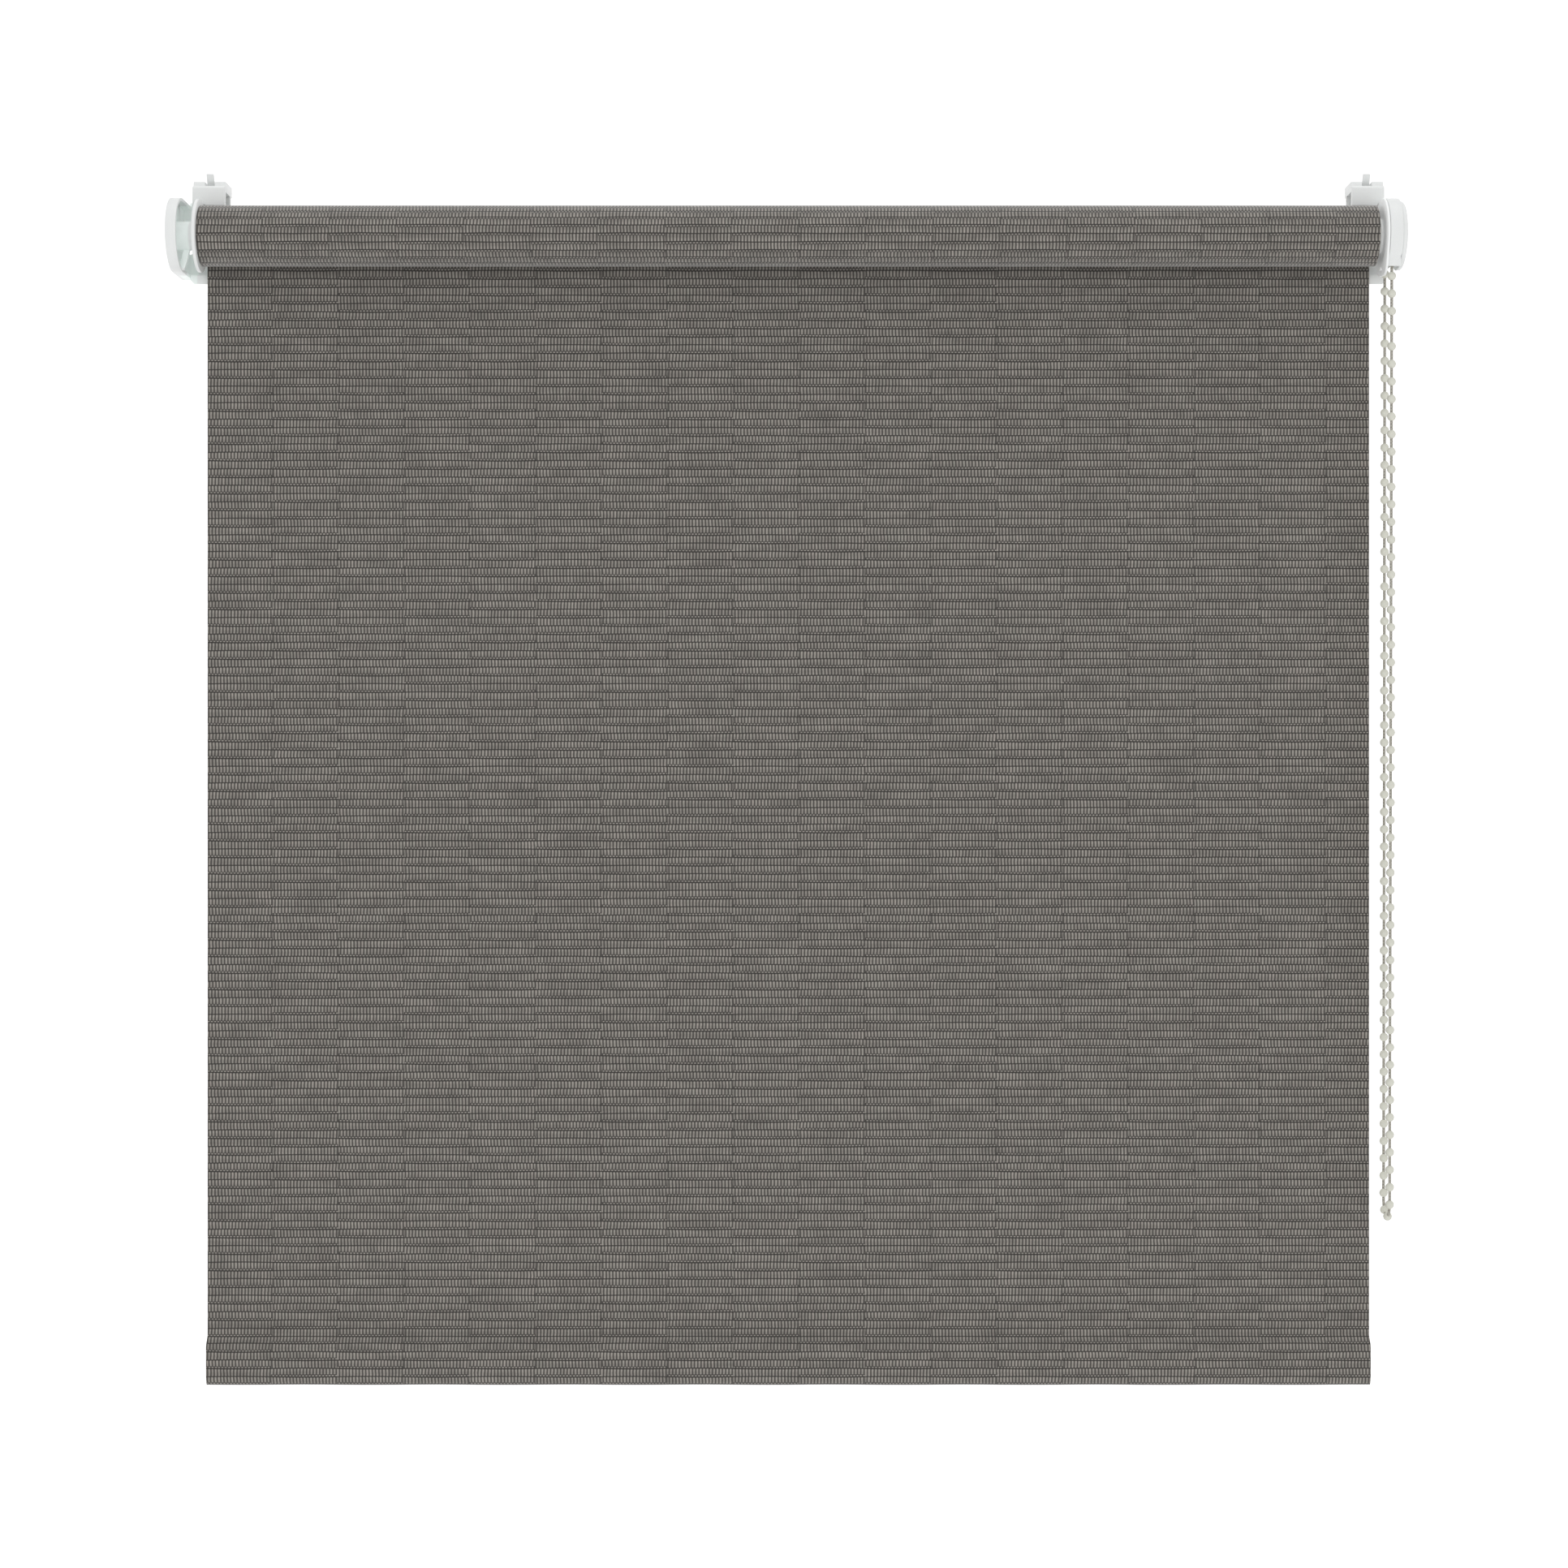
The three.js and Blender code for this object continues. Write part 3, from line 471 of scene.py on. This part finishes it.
# %% [markdown]
# ## Cloth as geometry
# Each piece of cloth is a strip swept along a line in the y-z plane, with real thickness.
# The rows are raised in the mesh, so the furrows catch light at the edges too. Their
# lines bow a little, up and down by turns, as the swapped stitches pull on them.

# %% Mesh helpers


@contextlib.contextmanager
def reshaping(mesh):
    """Opens a mesh for editing, and puts the result back."""
    work = bmesh.new()
    work.from_mesh(mesh)
    yield work
    work.to_mesh(mesh)
    work.free()


def merge_close(work, gap):
    bmesh.ops.remove_doubles(work, verts=work.verts, dist=gap)
    bmesh.ops.dissolve_degenerate(work, edges=work.edges, dist=gap)


def tidy_normals(mesh, angle=40.0):
    """Turns the faces outwards and smooths all but edges sharper than the angle."""
    with reshaping(mesh) as work:
        bmesh.ops.recalc_face_normals(work, faces=work.faces)
    mesh.shade_smooth()
    mesh.set_sharp_from_angle(angle=math.radians(angle))


print("mesh helpers ready")

# %% Rows on a line
THICK = 0.5 * MM
RELIEF = 0.09 * MM  # how far a furrow lies below its rows, on each side of the cloth
IN_ROW = ((0.0, 0.0), (0.14, 0.75), (0.5, 1.0), (0.86, 0.75))  # place in a row, height
CUT_HEIGHT = 0.4  # height at a cut edge
EDGE_ROOM = 0.3 * MM  # no line of the mesh comes closer than this to a cut edge
LOOK_AROUND = 0.4 * MM  # how far each way a line is read to find its direction


def row_marks(start, end):
    """Lengths along the cloth where the mesh has a line, and how raised each one is."""
    marks = []
    for row in range(int(start // ROW) - 2, int(end // ROW) + 2):
        marks += [((row + ROW_PHASE + place) * ROW, height) for place, height in IN_ROW]
    kept = [m for m in marks if start + EDGE_ROOM < m[0] < end - EDGE_ROOM]
    return [(start, CUT_HEIGHT), *kept, (end, CUT_HEIGHT)]


def along(path, lengths):
    """Points and unit normals on a line in (y, z) at these lengths from its start."""
    steps = np.linalg.norm(np.diff(path, axis=0), axis=1)
    total = np.concatenate([[0], np.cumsum(steps)])

    def points_at(at):
        return np.column_stack([np.interp(at, total, path[:, i]) for i in (0, 1)])

    run = points_at(lengths + LOOK_AROUND) - points_at(lengths - LOOK_AROUND)
    run /= np.linalg.norm(run, axis=1, keepdims=True)
    return points_at(lengths), np.column_stack([run[:, 1], -run[:, 0]])


print("cloth of", THICK / MM, "mm, raised by", RELIEF / MM, "mm")

# %% Strip of cloth
HALF_WIDTH = 300 * MM
BOW = 0.22 * MM


def strip_faces(columns, lines):
    """The faces of a closed strip: its two sides, then its long edges, then its ends."""
    def spot(side, column, line):
        return (side * (columns + 1) + column) * lines + line

    faces = []
    for j in range(columns):
        for i in range(lines - 1):
            quad = [(j, i), (j + 1, i), (j + 1, i + 1), (j, i + 1)]
            faces.append([spot(0, *q) for q in quad])
            faces.append([spot(1, *q) for q in reversed(quad)])
    for i in range(lines - 1):
        for j, a, b in ((0, i + 1, i), (columns, i, i + 1)):
            faces.append([spot(0, j, a), spot(1, j, a), spot(1, j, b), spot(0, j, b)])
    for j in range(columns):
        for i, a, b in ((0, j, j + 1), (lines - 1, j + 1, j)):
            faces.append([spot(0, a, i), spot(1, a, i), spot(1, b, i), spot(0, b, i)])
    return faces


def cloth_strip(name, path, first, columns, marks=None):
    """A closed strip of cloth along path, whose length measure starts at first."""
    path = np.array(path, float)
    marks = marks or row_marks(first, first + path_length(path))
    measure, height = np.array(marks).T
    from_ends = np.minimum(measure - measure[0], measure[-1] - measure)
    fade = np.clip(from_ends / ROW, 0, 1)
    by_turns = np.where(np.round(measure / ROW - ROW_PHASE) % 2 == 0, 1.0, -1.0)
    points, cloth = [], []
    for side in (1, -1):
        offset = side * (THICK / 2 + RELIEF * (height - 1))
        for x in np.linspace(-HALF_WIDTH, HALF_WIDTH, columns + 1):
            bow = BOW * math.sin(math.pi * ((x + EDGE) / BLOCK + BLOCK_PHASE))
            at, normal = along(path, measure - first + bow * by_turns * fade)
            points += [(x, y, z) for y, z in at + normal * offset[:, None]]
            cloth += [(x + EDGE, m, 0.0) for m in measure]
    mesh = bpy.data.meshes.new(name)
    mesh.from_pydata(points, [], strip_faces(columns, len(marks)))
    mesh.attributes.new("cloth_measure", "FLOAT_VECTOR", "POINT").data.foreach_set(
        "vector", np.array(cloth, np.float32).ravel())
    tidy_normals(mesh)
    mesh.materials.append(cloth_finish.material)
    print(name, "of", len(mesh.polygons), "faces, cloth", round(path_length(path), 4), "m")
    return new_object(name, mesh)


# %% [markdown]
# ### Wound cloth
# The cloth leaves the back of the roll, so the winding is a spiral that ends there. Its
# last turn keeps one radius and has raised rows; the turns inside show just their edges.

# %% Roll of cloth
ROLL_R = 15.4 * MM
CORE_R = 9.35 * MM
TURN_STEP = 0.995  # how far apart the turns lie, in thicknesses
outer_mid = ROLL_R - THICK / 2
turns = (outer_mid - CORE_R - THICK / 2) / THICK


def spiral(turn_count, per_turn):
    """From the tube outwards, ending at the back of the roll, where the sheet leaves."""
    angle = np.linspace(-FULL_TURN * turn_count, 0, int(turn_count * per_turn) + 1)
    inwards = np.minimum(angle + FULL_TURN, 0) / FULL_TURN * THICK * TURN_STEP
    radius = outer_mid + inwards
    return np.column_stack([AXIS_Y + radius * np.cos(-angle), radius * np.sin(-angle)])


roll_path = spiral(turns, 72)
roll_length = path_length(roll_path)
last_turn = FULL_TURN * outer_mid
inner_marks = [(-v, 1.0) for v in np.linspace(roll_length, last_turn + 3 * MM, 280)]
roll_marks = inner_marks + row_marks(-last_turn, -0.02 * MM)[1:]
cloth_roll = cloth_strip("cloth_roll", roll_path, -roll_length, 36, roll_marks)

# %% [markdown]
# ### Hanging sheet
# From the back of the roll the cloth drops straight to the hem. It is one strip again,
# and begins and ends a hair lower than the roll and the hem meet it.

# %% Sheet
DROP = 564 * MM
HAIR = 0.1 * MM
sheet_y = AXIS_Y + outer_mid
sheet_path = [(sheet_y, -HAIR), (sheet_y, -DROP - HAIR)]
cloth_sheet = cloth_strip("cloth_sheet", sheet_path, HAIR, 60)

# %% [markdown]
# ### Hem pocket
# The cloth folds back up behind itself and is welded along the top of the fold. The bar
# inside makes it swell to the front. Its line is four smooth bends with straight runs
# between them: in to the front, round the bottom in two halves, and back up to the weld.

# %% Hem
FRONT = AXIS_Y + 10.75 * MM
BACK = AXIS_Y + 16.05 * MM
MIDDLE = (FRONT + BACK) / 2
WELD = sheet_y + 0.62 * MM  # where the folded cloth lies against the sheet
SWING = 3 * MM  # how far each bend runs on before it turns
top, upper, lower, bottom = (-v * MM for v in (564.0, 570.9, 584.1, 590.2))


def bezier(p0, p1, p2, p3, count=14):
    t = np.linspace(0, 1, count)[:, None]
    p0, p1, p2, p3 = (np.array(p, float) for p in (p0, p1, p2, p3))
    return (1 - t) ** 3 * p0 + 3 * (1 - t) ** 2 * t * p1 + 3 * (1 - t) * t**2 * p2 + t**3 * p3


hem_path = np.vstack([
    bezier((sheet_y, top), (sheet_y, top - SWING), (FRONT, upper + SWING), (FRONT, upper)),
    bezier(
        (FRONT, lower), (FRONT, lower - SWING), (FRONT + 1.4 * MM, bottom), (MIDDLE, bottom)),
    bezier(
        (MIDDLE, bottom), (BACK - 0.6 * MM, bottom), (BACK, lower - SWING), (BACK, lower))[1:],
    bezier(
        (BACK, upper), (BACK, upper + 2.4 * MM), (WELD, top - 2.6 * MM), (WELD, top - 0.6 * MM)),
])
hem_loop = cloth_strip("hem_loop", hem_path, DROP, 60)

# %% [markdown]
# ## Geometry Nodes from the script
# A tree starts as a group with named inputs. It ends by making its copies real, shading
# them smooth and giving them their material. The result is kept as a plain mesh.

# %% Node tree helpers


def node_tree(name, inputs):
    tree = bpy.data.node_groups.new(name, "GeometryNodeTree")
    face = tree.interface
    face.new_socket("Geometry", in_out="INPUT", socket_type="NodeSocketGeometry")
    for label, value in inputs.items():
        socket = face.new_socket(label, in_out="INPUT", socket_type="NodeSocketFloat")
        socket.default_value = value
    face.new_socket("Geometry", in_out="OUTPUT", socket_type="NodeSocketGeometry")
    return tree, tree.nodes.new("NodeGroupInput"), tree.nodes.new("NodeGroupOutput")


def add_node(tree, kind, settings=None, **links):
    """A node with its settings, and sockets linked or set by name (_ stands for a space)."""
    node = tree.nodes.new(kind)
    for key, value in (settings or {}).items():
        setattr(node, key, value)
    for key, value in links.items():
        socket = next(
            s for s in node.inputs if s.name == key.replace("_", " ") and s.enabled)
        if isinstance(value, bpy.types.NodeSocket):
            tree.links.new(value, socket)
        else:
            socket.default_value = value
    return node


def finish_tree(tree, geometry, material, exit_node):
    real = add_node(tree, "GeometryNodeRealizeInstances", Geometry=geometry)
    smooth = add_node(tree, "GeometryNodeSetShadeSmooth", Geometry=real.outputs[0])
    dressed = add_node(
        tree, "GeometryNodeSetMaterial", Geometry=smooth.outputs[0], Material=material)
    tree.links.new(dressed.outputs[0], exit_node.inputs[0])


def plain_mesh(item):
    """The mesh that an object's modifiers make of it."""
    graph = bpy.context.evaluated_depsgraph_get()
    return bpy.data.meshes.new_from_object(
        item.evaluated_get(graph), preserve_all_data_layers=True, depsgraph=graph)


def built_piece(name, guide, tree, values):
    """Runs a tree on the guide with these inputs, and keeps only what it made."""
    modifier = guide.modifiers.new("build", "NODES")
    modifier.node_group = tree
    for socket in tree.interface.items_tree:
        if socket.in_out == "INPUT" and socket.name in values:
            modifier[socket.identifier] = values[socket.name]
    mesh = plain_mesh(guide)
    mesh.name = name
    bpy.data.objects.remove(guide)
    print(name, "of", len(mesh.polygons), "faces")
    return new_object(name, mesh)


print("tree helpers ready")

# %% [markdown]
# ## Beads
# One bead is a small ball, and the chain is that ball again and again at an even pitch.
# Geometry Nodes do just that: trim the curve to the first bead, step along it, and put a
# ball at each step.

# %% Bead chain
BEADS = {"First bead": 4.0 * MM, "Pitch": 8.907 * MM, "Bead radius": 2.25 * MM}
PAST_THE_END = 10.0  # metres, more than any chain


def bead_tree(material):
    tree, entry, end = node_tree("beads_on_string", BEADS)
    trimmed = add_node(
        tree, "GeometryNodeTrimCurve", {"mode": "LENGTH"},
        Curve=entry.outputs["Geometry"], Start=entry.outputs["First bead"], End=PAST_THE_END)
    steps = add_node(
        tree, "GeometryNodeCurveToPoints", {"mode": "LENGTH"},
        Curve=trimmed.outputs[0], Length=entry.outputs["Pitch"])
    ball = add_node(
        tree, "GeometryNodeMeshUVSphere", Segments=12, Rings=8,
        Radius=entry.outputs["Bead radius"])
    beads = add_node(
        tree, "GeometryNodeInstanceOnPoints", Points=steps.outputs["Points"],
        Instance=ball.outputs["Mesh"])
    finish_tree(tree, beads.outputs[0], material, end)
    return tree


bead_guide = curve_object("bead_guide", chain_path, 0)
chain_beads = built_piece("chain_beads", bead_guide, bead_tree(cream.material), BEADS)

# %% [markdown]
# ## Springs
# A spring is a wire that winds round an axis. The tree draws a spiral, gives it a round
# section and closes its ends. One tree makes all three springs of the blind.

# %% Spring tree
WIRE_RADIUS = 0.4 * MM


def spring_tree(material):
    tree, entry, end = node_tree("coiled_wire", {
        "Turns": 6.0, "Radius": 2.7 * MM, "Length": 20 * MM, "Wire radius": WIRE_RADIUS})
    coil = add_node(
        tree, "GeometryNodeCurveSpiral", Resolution=24, Rotations=entry.outputs["Turns"],
        Start_Radius=entry.outputs["Radius"], End_Radius=entry.outputs["Radius"],
        Height=entry.outputs["Length"])
    wire = add_node(
        tree, "GeometryNodeCurvePrimitiveCircle", Resolution=8,
        Radius=entry.outputs["Wire radius"])
    tube = add_node(
        tree, "GeometryNodeCurveToMesh", Curve=coil.outputs[0],
        Profile_Curve=wire.outputs[0], Fill_Caps=True)
    finish_tree(tree, tube.outputs[0], material, end)
    return tree


spring_nodes = spring_tree(steel.material)
print("spring tree of", len(spring_nodes.nodes), "nodes")

# %% Springs


def spring(name, node, turn_count):
    """A spring in the place of this CAD node, along X."""
    low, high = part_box(node)
    guide = new_object("guide", bpy.data.meshes.new("guide"))
    item = built_piece(name, guide, spring_nodes, {
        "Turns": float(turn_count), "Radius": (high.y - low.y) / 2 - WIRE_RADIUS,
        "Wire radius": WIRE_RADIUS, "Length": high.x - low.x - 2 * WIRE_RADIUS})
    middle = (low + high) / 2
    item.data.transform(
        Matrix.Translation((low.x + WIRE_RADIUS, middle.y, middle.z)) @ Matrix.Rotation(
            math.radians(90), 4, "Y"))
    tidy_normals(item.data)
    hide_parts(node)
    return item


pin_spring = spring("pin_spring", "idle_pin_spring", 9)
clutch_springs = [
    spring("clutch_spring_" + name, "wrap_spring_" + name, 8)
    for name in ("inner", "outer")
]

# %% [markdown]
# ## Softened mouldings
# A moulded part has no razor edges. Each plastic part is a copy of its exact CAD shape,
# with its loose triangles merged, flat faces joined up and the edges rolled over by up to
# a quarter of a millimetre, so they catch a thin line of light.

# %% Softened copies
BODY_OF = {
    node: body for body, nodes in frame["record"]["behaviour"]["bodies"].items()
    for node in nodes
}
ROUND_EDGE, FINE_EDGE = 0.25 * MM, 0.15 * MM
FLAT = math.radians(0.6)  # faces that meet at less than this are one


def softened(name, node, finish, width):
    mesh = frame["nodes"][node].data.copy()
    mesh.name = name
    with reshaping(mesh) as work:
        merge_close(work, 0.002 * MM)
        bmesh.ops.dissolve_limit(work, angle_limit=FLAT, verts=work.verts, edges=work.edges)
    item = new_object(name, mesh)
    roll_over = item.modifiers.new("edges", "BEVEL")
    roll_over.width = width
    roll_over.segments = 2
    roll_over.limit_method = "ANGLE"
    roll_over.angle_limit = math.radians(35)
    roll_over.use_clamp_overlap = True
    item.data = plain_mesh(item)
    item.modifiers.clear()
    item.data.materials.clear()
    item.data.materials.append(finish.material)
    item.data.shade_smooth()
    item.data.set_sharp_from_angle(angle=math.radians(32))
    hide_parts(node)
    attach(item, BODY_OF[node])
    print(name, "of", len(item.data.polygons), "faces")


for moulding in (
    ("left_bracket_moulding", "left_side_bracket", painted_recess_white, ROUND_EDGE),
    ("right_bracket_moulding", "right_side_bracket", white, ROUND_EDGE),
    ("left_plate_moulding", "left_wall_plate", white, ROUND_EDGE),
    ("right_plate_moulding", "right_wall_plate", white, ROUND_EDGE),
    ("left_tab_moulding", "left_release_tab", white, FINE_EDGE),
    ("right_tab_moulding", "right_release_tab", white, FINE_EDGE),
    ("end_plug_moulding", "idle_plug", white, ROUND_EDGE),
    ("guide_flange_moulding", "control_flange", painted_light_white, ROUND_EDGE),
    ("spigot_moulding", "drive_spigot", painted_light_white, ROUND_EDGE),
    ("wheel_moulding", "chain_wheel", white, FINE_EDGE),
    ("pin_moulding", "idle_pin", nylon, FINE_EDGE),
):
    softened(*moulding)

# %% [markdown]
# ## The round cover
# The drum's cover is a turned shape that is seen close up, so it is spun afresh from its
# profile with many more sides than the CAD shape has.

# %% Turned shapes


def turned(name, profile, sides, finish):
    """Spins a closed list of (x, radius) points, in millimetres, about the roller's axis."""
    points, faces = [], []
    for i in range(sides):
        angle = FULL_TURN * i / sides
        points += [
            (x * MM, AXIS_Y + r * MM * math.cos(angle), r * MM * math.sin(angle))
            for x, r in profile
        ]
    n = len(profile)
    for i in range(sides):
        j = (i + 1) % sides
        for k in range(n):
            m = (k + 1) % n
            faces.append([i * n + k, i * n + m, j * n + m, j * n + k])
    mesh = bpy.data.meshes.new(name)
    mesh.from_pydata(points, [], faces)
    with reshaping(mesh) as work:
        merge_close(work, 0.001 * MM)
    tidy_normals(mesh, 30)
    mesh.materials.append(finish.material)
    print(name, "of", len(mesh.polygons), "faces")
    return new_object(name, mesh)


print("turning ready")

# %% Round cover
INSIDE, RIM, OUTSIDE = 311.2, 17.5, 313.6  # in millimetres, as in the profile
EDGE_RADIUS = 1.2
rolled_edge = [
    (OUTSIDE - EDGE_RADIUS + EDGE_RADIUS * math.sin(a),
     RIM - EDGE_RADIUS + EDGE_RADIUS * math.cos(a))
    for a in np.linspace(0, math.pi / 2, 8)
]
dished_face = [(OUTSIDE, 12.5), (OUTSIDE - 0.25, 12.2), (OUTSIDE - 0.25, 0)]
inner_face = [(INSIDE, 0), (INSIDE, 3.1), (INSIDE, RIM - 0.2), (INSIDE + 0.2, RIM)]
cover = turned("round_cover", [*inner_face, *rolled_edge, *dished_face], 128, white)
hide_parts("control_cap")
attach(cover, "brackets")

# %% [markdown]
# ## The parts that stay as they are
# The remaining CAD shapes are right already, so they only get their finish.

# %% Finishes on CAD parts
for node, finish in {
    "clutch_core": nylon, "core_screw": steel, "wheel_chain": cream, "roller_tube": aluminium,
    "fabric_tape": tape_finish, "bottom_bar": aluminium,
}.items():
    part = frame["nodes"][node]
    part.data.materials.clear()
    part.data.materials.append(finish.material)
    print(node, "wears", finish.material.name)

# %% [markdown]
# ## What moves with what
# Each new piece rides on a body of the model, in place of the CAD parts it hides. In the
# real blind the pin's spring closes up as the pin is pushed in by 8.4 mm, and the sheet shortens
# as the hem rises by 544 mm, stopping with its top edge 5.3 mm under the roller's axis, clear
# of the brackets; the pieces here keep one shape.

# %% Riding
for piece, body, slot, nodes in (
    (chain_string, "brackets", "chain_cord", ["bead_chain"]),
    (chain_beads, "brackets", "bead_plastic", []),
    (cloth_roll, "roller", "fabric", ["fabric_roll"]),
    (cloth_sheet, "hem", "fabric", ["fabric_sheet"]),
    (hem_loop, "hem", "fabric", ["hem_pocket"]),
    (pin_spring, "roller", "spring_steel", []),
    *((item, "chain_drive", "spring_steel", []) for item in clutch_springs),
):
    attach(piece, body)
    if nodes:
        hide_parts(*nodes)
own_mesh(pin_spring)
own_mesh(cloth_sheet)
print("bodies set")

# %% [markdown]
# ## Cord and cloth
# The lengths of the wound and the hanging cloth are printed, so that whoever reuses the model
# knows how much there is; the string's length is printed where it is made.

# %% Cord and sheets
print("wound cloth", round(roll_length, 4), "m, hanging cloth", DROP, "m")

# %% [markdown]
# ## Studio
# A pale floor runs back and curves up behind the blind, in one sweep without a corner.
# The paper glows a little, more on the wall than on the floor, so it stays pale all over.

# %% Floor and backdrop


def sweep():
    front, back, floor, top, bend, half_width = -3.2, 2.1, -1.4, 3.0, 0.8, 5.0
    turn = [
        (back - bend + bend * math.sin(a), floor + bend - bend * math.cos(a))
        for a in np.linspace(0, math.pi / 2, 16)
    ]
    line = [(front, floor), *turn, (back, top)]
    points = [(x, y, z) for x in (-half_width, half_width) for y, z in line]
    n = len(line)
    faces = [(i, i + 1, n + i + 1, n + i) for i in range(n - 1)]
    mesh = bpy.data.meshes.new("studio_sweep")
    mesh.from_pydata(points, [], faces)
    mesh.shade_smooth()
    paper = Finish("pale_paper", roughness=0.9)
    off_floor = paper.parts(paper.place())[2].above(floor + 0.1, 0.08)
    paper.set(
        Base_Color=(0.9, 0.9, 0.9), Emission_Strength=1.0,
        Emission_Color=paper.paint(off_floor, (0.15, 0.15, 0.15), (0.46, 0.46, 0.46)))
    mesh.materials.append(paper.material)
    new_object("studio_sweep", mesh)
    print("sweep", front, "to", back, "m deep")


sweep()

# %% [markdown]
# ## Light
# Big soft lights above and in front leave the roll a little darker underneath, and a pale
# sky fills the shadows. Standard view keeps white plastic white.

# %% Lights


def soft_light(name, place, aim, size, power):
    """A rectangular lamp at place, turned towards aim; sizes in metres, power in watts."""
    data = bpy.data.lights.new(name, "AREA")
    data.shape = "RECTANGLE"
    data.size, data.size_y = size
    data.energy = power
    lamp = new_object(name, data)
    lamp.location = place
    lamp.rotation_euler = (Vector(aim) - Vector(place)).to_track_quat("-Z", "Y").to_euler()


soft_light("overhead", (0, -0.15, 1.2), (0, -0.03, 0), (1.8, 0.7), 4.5)
soft_light("key", (-0.3, -2.3, 0.1), (0, 0, -0.2), (1.0, 0.8), 7.5)
soft_light("fill", (1.5, -1.6, -0.2), (0, 0, -0.25), (1.2, 1.6), 3)
world = bpy.data.worlds.new("pale_sky")
world.use_nodes = True
sky = world.node_tree.nodes["Background"]
sky.inputs["Color"].default_value = (1.0, 1.0, 1.0, 1)
sky.inputs["Strength"].default_value = 0.66
bpy.context.scene.world = world
bpy.context.scene.view_settings.view_transform = "Standard"
print("studio lit")
